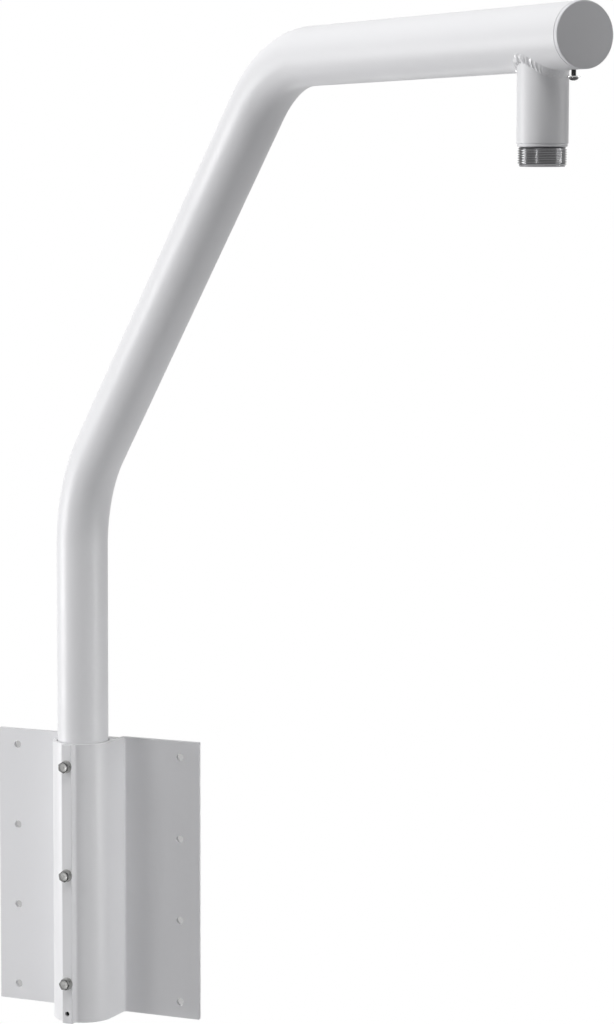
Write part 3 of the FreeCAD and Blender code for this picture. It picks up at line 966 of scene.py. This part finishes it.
@dataclass
class Mast:
    """The bent tube with its end cap."""

    finishes: Finishes
    outer: float = 32.5
    wall: float = 3.0
    bend: float = 180.0
    foot: float = -164.2
    knee: float = 501.0
    run: float = 522.0
    face: float = 1125.0
    cap: float = 5.5
    cap_round: float = 1.3
    seam: float = 0.5
    gap: float = 0.5
    skirt: float = 29.3
    skirt_wall: float = 2.5
    skirt_length: float = 8.0
    spigot_reach: float = 1053.0
    spigot_bore: float = 41.0
    tether_reach: float = 1106.0
    tether_hole: float = 5.1
    bend_steps: int = 30
    count: int = 128

    def build(self) -> list[bpy.types.Object]:
        """Builds the tube and its cap."""
        return [self.tube(), self.end_cap()]

    def tube_tree(self) -> Tree:
        """Makes the tree that rounds a path's corners and draws a tube's outside along it.

        Returns:
            The tree.
        """
        tree = Tree("bent_tube")
        radius, bend = tree.numbers("Radius", "Bend Radius")
        paint = tree.material("Finish")
        path = tree.node("GeometryNodeMeshToCurve", {"Mesh": tree.inlet.outputs["Geometry"]})
        values = {"Curve": path.outputs[0], "Radius": bend, "Count": self.bend_steps}
        bent = tree.node("GeometryNodeFilletCurve", values, mode="POLY")
        values = {"Resolution": self.count, "Radius": radius}
        ring = tree.node("GeometryNodeCurvePrimitiveCircle", values)
        values = {"Curve": bent.outputs[0], "Profile Curve": ring.outputs[0]}
        tree.finish(tree.node("GeometryNodeCurveToMesh", values).outputs[0], (paint, None))
        return tree

    def tube(self) -> bpy.types.Object:
        """Builds mast, sloping run and arm in one, open at both ends, with two holes below the arm.

        Returns:
            The tube.
        """
        axis, end = PLACE.arm_axis, self.face - self.cap - self.gap
        stops = [(0.0, self.foot), (0.0, self.knee), (self.run, axis), (end, axis)]
        path = bpy.data.meshes.new("mast_path")
        path.from_pydata([(x * MM, 0.0, z * MM) for x, z in stops], [(0, 1), (1, 2), (2, 3)], [])
        piece = new_piece("bent_mast", path)
        self.tube_tree().run_on(
            piece, Radius=self.outer * MM, Bend_Radius=self.bend * MM, Finish=self.finishes.paint
        )
        piece.data.materials.append(self.finishes.mill)
        shell = piece.modifiers.new("wall", "SOLIDIFY")
        shell.thickness = self.wall * MM
        shell.offset = -1.0
        shell.material_offset = 1
        shell.use_even_offset = True
        settle(piece)
        holes = []
        for reach, width in (
            (self.spigot_reach, self.spigot_bore), (self.tether_reach, self.tether_hole)
        ):
            low = axis - self.outer - 5.0
            outline = [(0.0, low), (width / 2, low), (width / 2, axis), (0.0, axis)]
            hole = lathe("hole", outline, 64)
            hole.data.transform(Matrix.Translation((reach * MM, 0.0, 0.0)))
            holes.append(hole)
        carve(piece, *holes)
        crisp(piece.data)
        return stand(piece, PLACE.on_mast(), Body.MAST, Slot.WHITE_PAINT, "mast_tube")

    def end_cap(self) -> bpy.types.Object:
        """Builds the cap: a rounded rim, a hairline seam against the tube and a skirt inside it.

        Returns:
            The cap.
        """
        back, top, inner = -self.cap, self.outer, self.skirt - self.skirt_wall
        corners = [(0.0, 0.0, 0.0), (top, 0.0, self.cap_round), (top, back, self.seam)]
        corners += [(self.skirt, back, 0.0), (self.skirt, back - self.skirt_length, 0.5)]
        corners += [(inner, back - self.skirt_length, 0.5), (inner, back, 0.4), (0.0, back, 0.0)]
        piece = lathe("arm_end_cap", rounded(corners, 5), self.count)
        piece.data.materials.append(self.finishes.cap)
        lay = PLACE.on_arm(self.face) @ Matrix.Rotation(math.radians(90.0), 4, "Y")
        return stand(piece, lay, Body.MAST, Slot.CAP, "end_cap")


@dataclass
class Spigot:
    """The threaded pipe below the arm, with the bead that joins the two."""

    finishes: Finishes
    thread_tree: Tree
    arm: float = 32.5
    reach: float = 1053.0
    pipe: float = 25.3
    bore: float = 20.5
    drop: float = 103.5
    round: float = 0.7
    collar: float = 24.7
    collar_top: float = 1.6
    collar_low: float = 1.0
    crest: float = 23.9
    root: float = 22.42
    pitch: float = 2.309
    length: float = 20.5
    lead_in: float = 1.0
    neck: float = 1.5
    short_leg: float = 4.7
    long_leg: float = 8.0
    arm_leg: float = 4.5
    bulge: float = 0.8
    hollow: float = 0.5
    ripples: int = 38
    ripple_depth: float = 0.7
    smooth_side: float = 0.6
    sunk: float = 0.2
    columns: int = 96

    def build(self) -> list[bpy.types.Object]:
        """Builds the pipe and its weld."""
        return [self.pipe_piece(), self.weld()]

    def saddle(self, radius: float) -> list[Vector]:
        """The line where an upright pipe meets the arm's underside.

        Args:
            radius: The pipe's radius.

        Returns:
            The line's points.
        """
        loop = []
        for index in range(self.columns):
            angle = math.tau * index / self.columns
            drop_in = math.sqrt(self.arm**2 - (radius * math.sin(angle)) ** 2)
            loop.append(polar(radius, angle, PLACE.arm_axis - drop_in))
        return loop

    def pipe_piece(self) -> bpy.types.Object:
        """Builds the pipe with its coped top, rounded shoulder, wound thread and bore.

        Returns:
            The pipe.
        """
        shoulder = PLACE.arm_axis - self.drop
        low, count = shoulder - self.length, self.columns
        collar_low, collar_top = shoulder - self.collar_low, shoulder + self.collar_top
        corners = [(self.root, shoulder - self.neck, 0.0), (self.root, collar_low, 0.2)]
        corners += [(self.collar, collar_low, 0.5), (self.collar - 0.3, collar_top, 0.2)]
        corners += [(self.pipe, collar_top + 0.2, self.round), (self.pipe, shoulder + 20.0, 0.0)]
        loops = [circle(radius, height, count) for radius, height in rounded(corners, 5)]
        top = skin("pipe_outside", [*loops, self.saddle(self.pipe), self.saddle(self.bore)])
        top.data.materials.append(self.finishes.paint)
        corners = [(self.bore, shoulder, 0.0), (self.bore, low, 0.6), (self.root - 0.5, low, 0.2)]
        corners += [(self.root, low + self.lead_in, 0.0)]
        loops = [circle(radius, height, count) for radius, height in rounded(corners, 3)]
        inside = skin("pipe_bore", [self.saddle(self.bore), *loops])
        inside.data.materials.append(self.finishes.mill)
        piece = join("threaded_spigot", [top, inside], weld=True)
        mark = piece.data.attributes.new("cut", "BOOLEAN", "FACE")
        for index, polygon in enumerate(piece.data.polygons):
            mark.data[index].value = polygon.material_index == 1
        length = self.length - self.neck - self.lead_in
        thread = Thread(self.crest, self.root, self.pitch, length, low + self.lead_in, count, 12, 2.0)
        # the thread takes the darkened finish, a painted dark reflection
        thread.wind(self.thread_tree, piece, self.finishes.paint, self.finishes.thread_dark_reflection)
        place = PLACE.on_mast() @ Matrix.Translation((self.reach * MM, 0.0, 0.0))
        return stand(piece, place, Body.MAST, Slot.WHITE_PAINT, "camera_spigot")

    @staticmethod
    def bead_tree() -> Tree:
        """Makes the tree that lays a rippled bead round the line where the pipe meets the arm.

        A point of the bead lies at an angle round the pipe and at a share of the way across,
        from the toe on the pipe to the toe on the arm and back inside the metal.

        Returns:
            The tree.
        """
        tree = Tree("rippled_bead")
        pipe, arm = tree.numbers("Pipe Radius", "Arm Radius")
        short, long, top = tree.numbers("Short Leg", "Long Leg", "Arm Leg")
        bulge, hollow, sunk = tree.numbers("Bulge", "Hollow", "Sunk")
        ripples, depth, smooth_side = tree.numbers("Ripples", "Ripple Depth", "Smooth Side")
        finish = tree.material("Finish")
        sheet, u, v = tree.grid(900, 36)
        # The way round, the way across in the open and the way back inside. "smooth" is 1 near the cap.
        way, across = u * math.tau, (v / BEAD_FACE).clamped()
        back = ((v - BEAD_FACE) / (1.0 - BEAD_FACE)).clamped()
        cos, sin = way.cos(), way.sin()
        smooth = ((way - smooth_side).cos() * 1.1 + 0.55).clamped()
        leg = short + (long - short) * smooth

        # The crescents bend with the middle of the bead and wander a little, as a hand does.
        seed = tree.node("ShaderNodeCombineXYZ", {0: cos * 3.0, 1: sin * 3.0})
        rough = tree.node("ShaderNodeTexNoise", {"Vector": seed.outputs[0], "Scale": 2.3, "Detail": 1.0})
        wander = Field(tree.group, rough.outputs[0]) - 0.5
        middle = across * 2.0 - 1.0
        step = u * ripples + wander * 2.6
        phase = step - middle * middle * 0.35 + across * 0.5
        ripple = ((phase * math.tau).sin() * 0.5 + 0.5).math("POWER", 2.4) * 2.0 - 0.6
        lively = (smooth * -1.0 + 1.0) * (wander * 1.6 + 0.92) + 0.06
        toe = ((step * math.tau).sin() * 0.8 + wander * 1.5) * depth * lively

        # Both toes follow the saddle line, and the face between them swells and ripples outwards.
        start = (arm * arm - (pipe * sin) * (pipe * sin)).math("SQRT")
        rise = pipe * sin * sin / start
        run = top / (rise * rise + 1.0).math("SQRT") + toe
        far = pipe + run
        end = (arm * arm - (far * sin) * (far * sin)).math("SQRT")
        from_out, from_up = pipe - sunk, start * -1.0 - leg - toe
        to_out, to_up = far, end * -1.0 + sunk
        step_out, step_up = to_out - from_out, to_up - from_up
        length = (step_out * step_out + step_up * step_up).math("SQRT")
        face_out, face_up = step_up / length, step_out / length * -1.0
        swell = bulge * lively - hollow * smooth + ripple * depth * lively
        crown = across * (across * -1.0 + 1.0) * 4.0 * swell
        sink = back * (back * -1.0 + 1.0) * 4.0 * bulge * 2.0
        share, lift = across - back, crown - sink
        out = from_out + step_out * share + face_out * lift
        height = from_up + step_up * share + face_up * lift
        tree.finish(tree.bend(sheet, out * cos, out * sin, height), (finish, None))
        return tree

    def weld(self) -> bpy.types.Object:
        """Lays the bead, with the overlapping crescents that a welder's hand leaves.

        Returns:
            The bead, which is smoother near the cap.
        """
        piece = new_piece("rippled_weld", bpy.data.meshes.new("rippled_weld"))
        self.bead_tree().run_on(
            piece, Pipe_Radius=self.pipe * MM, Arm_Radius=self.arm * MM, Short_Leg=self.short_leg * MM,
            Long_Leg=self.long_leg * MM, Arm_Leg=self.arm_leg * MM, Bulge=self.bulge * MM,
            Hollow=self.hollow * MM, Ripples=float(self.ripples), Ripple_Depth=self.ripple_depth * MM,
            Sunk=self.sunk * MM, Smooth_Side=self.smooth_side, Finish=self.finishes.bead,
        )
        outward(piece.data)
        crisp(piece.data, 80.0)
        return stand(piece, PLACE.on_arm(self.reach), Body.MAST, Slot.WHITE_PAINT, "spigot_weld")


@dataclass
class TetherScrew:
    """The screw for a safety cord, with its washer, below the arm's end."""

    finishes: Finishes
    thread_tree: Tree
    reach: float = 1106.0
    arm: float = 32.5
    wall: float = 3.0
    gap: float = 5.9
    washer: float = 12.8
    washer_thickness: float = 1.2
    shank: float = 5.0
    pitch: float = 0.8
    inside: float = 4.0
    head: float = 9.4
    head_height: float = 3.2
    cross: float = 3.6
    cross_width: float = 0.9
    cross_depth: float = 1.9
    cross_turn: float = 20.0
    thread_depth: float = 0.43
    dome_edge: float = 0.5
    dome_steps: int = 12
    count: int = 48

    def build(self) -> list[bpy.types.Object]:
        """Builds the screw and the washer, both drawn head down about the screw's axis."""
        place = PLACE.on_arm(self.reach)
        return [self.screw(place), self.rim(place)]

    def screw(self, place: Matrix) -> bpy.types.Object:
        """Builds the screw: domed head with a cross recess, on a threaded shank.

        Args:
            place: Where the screw stands.

        Returns:
            The screw.
        """
        seat = -self.arm - self.gap - self.washer_thickness
        top, crest, count = -self.arm + self.wall + self.inside, self.shank / 2, self.count
        root, radius, crown = crest - self.thread_depth, self.head / 2, seat - self.head_height
        rise = self.head_height - self.dome_edge
        outline = [(0.0, crown)]
        for step in range(1, self.dome_steps + 1):
            angle = math.radians(90.0 * step / self.dome_steps)
            outline.append((radius * math.sin(angle), seat - self.dome_edge - rise * math.cos(angle)))
        outline += [(radius, seat - 0.15), (radius - 0.15, seat), (root, seat), (root, seat + 0.3)]
        head = lathe("tether_head", outline, count)
        tail = skin("tether_tail", [
            circle(root, top - 0.6, count), circle(root - 0.5, top, count), circle(0.0, top, count),
        ])
        self.open_at(head, seat + 0.3, [self.slot(turn, crown) for turn in (0.0, 90.0)])
        piece = join("tether_cross_screw", [head, tail])
        thread = Thread(crest, root, self.pitch, top - 0.9 - seat, seat + 0.3, count, 8, 0.5)
        # the screw takes the near-black polished finish, a painted dark reflection
        thread.wind(self.thread_tree, piece, self.finishes.bright, self.finishes.bright)
        crisp(piece.data, 32.0)
        return stand(piece, place, Body.MAST, Slot.BRIGHT, "tether_screw")

    def slot(self, turn: float, crown: float) -> bpy.types.Object:
        """Makes the shape of one bar of the cross recess.

        Args:
            turn: The bar's direction in degrees.
            crown: The height of the head's lowest point.

        Returns:
            The shape, to be cut out.
        """
        tool = lathe("slot", [(0.0, -1.0), (1.0, -0.3), (1.0, 1.0), (0.0, 1.0)], 4)
        long, wide = self.cross / math.sqrt(2.0), self.cross_width / math.sqrt(2.0)
        for step in (
            Matrix.Rotation(math.radians(45.0), 4, "Z"),
            Matrix.Rotation(math.radians(turn + self.cross_turn), 4, "Z")
            @ Matrix.Diagonal((long, wide, 1.0, 1.0)),
            Matrix.Rotation(math.pi, 4, "X"),
            Matrix.Translation((0.0, 0.0, (crown + self.cross_depth - 1.0) * MM)),
        ):
            tool.data.transform(step)
        return tool

    @staticmethod
    def open_at(piece: bpy.types.Object, height: float, tools: list[bpy.types.Object]) -> None:
        """Cuts the recess into the closed head and opens the head again where the thread begins.

        Args:
            piece: The head.
            height: Where the thread begins.
            tools: The recess's shapes.
        """
        build = bmesh.new()
        build.from_mesh(piece.data)
        bmesh.ops.contextual_create(build, geom=[edge for edge in build.edges if edge.is_boundary])
        bmesh.ops.recalc_face_normals(build, faces=build.faces)
        build.to_mesh(piece.data)
        build.free()
        carve(piece, *tools)
        build = bmesh.new()
        build.from_mesh(piece.data)
        upward = [face for face in build.faces if face.normal.z > 0.99]
        lid = [face for face in upward if abs(face.calc_center_median().z - height * MM) < 1e-5]
        bmesh.ops.delete(build, geom=lid, context="FACES_ONLY")
        build.to_mesh(piece.data)
        build.free()

    def rim(self, place: Matrix) -> bpy.types.Object:
        """Builds the washer on the head.

        Args:
            place: Where the screw stands.

        Returns:
            The washer.
        """
        inner, outer = self.shank / 2 + 0.2, self.washer / 2
        top = -self.arm - self.gap
        low, edges = top - self.washer_thickness, (0.1, 0.35, 0.2, 0.1)
        outline = washer_outline(inner, outer, low, top, edges, 3)
        piece = lathe("tether_rim", outline, 72, ring=True)
        piece.data.materials.append(self.finishes.bright_rim)
        return stand(piece, place, Body.MAST, Slot.BRIGHT, "tether_washer")


@dataclass
class Lamp:
    """A soft lamp, placed by its direction from the part."""

    name: str
    azimuth: float
    elevation: float
    distance: float
    width: float
    height: float
    watts: float
    aim: tuple[float, float, float] = (0.35, -0.3, 0.45)
    spread: float = 180.0

    def hang(self) -> None:
        """Hangs the lamp, facing its point of the part."""
        data = bpy.data.lights.new(self.name, "AREA")
        data.shape = "RECTANGLE"
        data.size, data.size_y = self.width, self.height
        data.energy = self.watts
        data.spread = math.radians(self.spread)
        lamp = bpy.data.objects.new(self.name, data)
        bpy.context.scene.collection.objects.link(lamp)
        turn, lift = math.radians(self.azimuth), math.radians(self.elevation)
        way = Vector((math.sin(turn) * math.cos(lift), -math.cos(turn) * math.cos(lift), math.sin(lift)))
        lamp.location = Vector(self.aim) + way * self.distance
        lamp.rotation_euler = way.to_track_quat("Z", "Y").to_euler()
        lamp.visible_camera = False


@dataclass
class Studio:
    """White surroundings, a pale floor, soft lamps and the camera."""

    eye: tuple[float, float, float] = (1.9034, -3.6087, 0.8637)
    view: tuple[float, float, float] = (-0.40568, 0.9089, -0.09653)
    roll: float = 0.147
    lens: float = 112.09
    floor_centre: tuple[float, float, float] = (0.3, -0.3, -1.1)
    floor_reach: float = 3.0
    floor_glow: float = 0.78
    fade: tuple[float, float] = (0.4, 0.9)
    patch_width: float = 0.286
    patch_height: float = 0.356
    patch_gap: float = 0.0008
    # glow of the wall patch: painted shade seen through the wing holes
    painted_wall_shade: float = 0.47
    ambient: float = 0.07
    lamps: list[Lamp] = field(default_factory=lambda: [
        Lamp("low_left_softbox", -73.0, -4.0, 4.0, 1.6, 1.7, 90.0),
        Lamp("high_left_lamp", -45.0, 30.0, 4.0, 1.0, 1.0, 34.0),
        Lamp("front_top_lamp", 5.0, 60.0, 4.0, 1.0, 1.0, 40.2),
        Lamp("top_lamp", 0.0, 85.0, 3.4, 1.0, 1.0, 29.2),
        Lamp("right_strip", 86.0, 5.0, 2.4, 0.6, 1.6, 1.4, (0.05, -0.1, 0.3), 60.0),
        Lamp("right_fill", 92.0, 0.0, 1.8, 0.4, 0.8, 1.15, (0.06, -0.12, 0.0), 60.0),
        Lamp("spigot_right_strip", 118.0, -2.0, 1.2, 0.07, 0.6, 0.24, (0.84, -0.68, 0.93), 60.0),
        Lamp("spigot_front_strip", -7.0, 0.0, 1.4, 0.025, 0.6, 0.16, (0.84, -0.68, 0.93), 60.0),
        Lamp("back_fill", 207.8, -12.0, 1.0, 0.4, 0.4, 0.5, (0.0, 0.0, 0.0), 60.0),
    ])

    def build(self) -> None:
        """Sets up the world, floor, wall patch, lamps and camera."""
        bpy.context.scene.view_settings.view_transform = "Standard"
        self.world()
        self.floor()
        self.wall()
        for lamp in self.lamps:
            lamp.hang()
        self.camera()

    @staticmethod
    def seen(tree: bpy.types.NodeTree) -> bpy.types.NodeSocket:
        """Tells whether a ray comes from the camera, a reflection or a clear piece.

        Args:
            tree: The tree that asks.

        Returns:
            1 where it does, otherwise 0.
        """
        path = add_node(tree, "ShaderNodeLightPath")
        seen = path.outputs["Is Camera Ray"]
        for name in ("Is Glossy Ray", "Is Transmission Ray"):
            values = {0: seen, 1: path.outputs[name]}
            seen = add_node(tree, "ShaderNodeMath", values, operation="MAXIMUM").outputs[0]
        return seen

    def world(self) -> None:
        """White where it is seen, a plain soft level where it lights."""
        world = bpy.data.worlds.new("white_studio")
        bpy.context.scene.world = world
        world.use_nodes = True
        tree = world.node_tree
        values = {"Color": (0.97, 0.98, 1.0, 1.0), "Strength": self.ambient}
        light = wire(tree.nodes["Background"], values)
        values = {"Color": (1.0, 1.0, 1.0, 1.0), "Strength": 1.0}
        white = add_node(tree, "ShaderNodeBackground", values)
        values = {0: self.seen(tree), 1: light.outputs[0], 2: white.outputs[0]}
        mix = add_node(tree, "ShaderNodeMixShader", values)
        wire(tree.nodes["World Output"], {"Surface": mix.outputs[0]})

    def floor(self) -> None:
        """Pale round floor that keeps the part's shadow, whiter outwards, clear from below."""
        floor = lathe("studio_floor", [(0.0, 0.0), (self.floor_reach / MM, 0.0)], 128)
        floor.data.transform(Matrix.Translation(self.floor_centre))
        if floor.data.polygons[0].normal.z < 0.0:
            floor.data.flip_normals()
        material, tree, lit = self.one_sided("pale_floor")
        values = {"Base Color": (0.74, 0.74, 0.75, 1.0), "Roughness": 0.9}
        shader = wire(tree.nodes["Principled BSDF"], values)
        values = {0: add_node(tree, "ShaderNodeTexCoord").outputs["Object"], 1: self.floor_centre}
        away = add_node(tree, "ShaderNodeVectorMath", values, operation="DISTANCE").outputs["Value"]
        near, far = (share * self.floor_reach for share in self.fade)
        values = {"Value": away, "From Min": near, "From Max": far, "To Min": self.floor_glow}
        fade = add_node(tree, "ShaderNodeMapRange", {**values, "To Max": 1.0}).outputs["Result"]
        level = add_node(tree, "ShaderNodeMath", {0: self.seen(tree), 1: fade}, operation="MULTIPLY")
        glow = add_node(tree, "ShaderNodeEmission", {"Strength": level.outputs[0]})
        both = add_node(tree, "ShaderNodeAddShader", {0: shader.outputs[0], 1: glow.outputs[0]})
        tree.links.new(both.outputs[0], lit)
        floor.data.materials.append(material)

    def wall(self) -> None:
        """Grey patch close behind the wings, which only the camera sees, and only in their holes: a
        glowing sheet of painted shade.
        """
        side, top, back = self.patch_width / 2, self.patch_height / 2, self.patch_gap
        mesh = bpy.data.meshes.new("wall_patch")
        corners = [(-side, back, -top), (side, back, -top), (side, back, top), (-side, back, top)]
        mesh.from_pydata(corners, [], [(0, 1, 2, 3)])
        patch = new_piece("wall_patch", mesh)
        material, tree, lit = self.one_sided("painted_wall_shade")
        glow = add_node(tree, "ShaderNodeEmission", {"Color": (*[self.painted_wall_shade] * 3, 1.0)})
        clear = add_node(tree, "ShaderNodeBsdfTransparent")
        by_camera = add_node(tree, "ShaderNodeLightPath").outputs["Is Camera Ray"]
        values = {0: by_camera, 1: clear.outputs[0], 2: glow.outputs[0]}
        tree.links.new(add_node(tree, "ShaderNodeMixShader", values).outputs[0], lit)
        mesh.materials.append(material)

    @staticmethod
    def one_sided(name: str) -> tuple[bpy.types.Material, bpy.types.NodeTree, bpy.types.NodeSocket]:
        """Starts a material that is clear from behind.

        Args:
            name: The material's name.

        Returns:
            The material, its tree, and the socket for the shader of its front.
        """
        material = bpy.data.materials.new(name)
        material.use_nodes = True
        tree = material.node_tree
        back = add_node(tree, "ShaderNodeNewGeometry").outputs["Backfacing"]
        clear = add_node(tree, "ShaderNodeBsdfTransparent")
        whole = add_node(tree, "ShaderNodeMixShader", {0: back, 2: clear.outputs[0]})
        wire(tree.nodes["Material Output"], {"Surface": whole.outputs[0]})
        return material, tree, whole.inputs[1]

    def camera(self) -> None:
        """The camera, at the photograph's place and angle."""
        data = bpy.data.cameras.new("camera")
        data.sensor_fit = "VERTICAL"
        data.sensor_height = 36.0
        data.lens = self.lens
        data.clip_end = 60.0
        camera = bpy.data.objects.new("camera", data)
        bpy.context.scene.collection.objects.link(camera)
        camera.location = self.eye
        look = Vector(self.view).to_track_quat("-Z", "Y").to_matrix().to_4x4()
        turned = look @ Matrix.Rotation(math.radians(self.roll), 4, "Z")
        camera.rotation_euler = turned.to_euler()
        bpy.context.scene.camera = camera


def main() -> None:
    """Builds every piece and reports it."""
    logging.basicConfig(level=logging.INFO, format="%(name)s: %(message)s")
    finishes, threads = Finishes(), Thread.tree()
    Studio().build()
    groups = [
        WallBracket(finishes), RibScrews(finishes, threads), Mast(finishes),
        Spigot(finishes, threads), TetherScrew(finishes, threads),
    ]
    for group in groups:
        for piece in group.build():
            LOG.info("%s: %d faces", piece.name, len(piece.data.polygons))


if __name__ == "__main__":
    main()
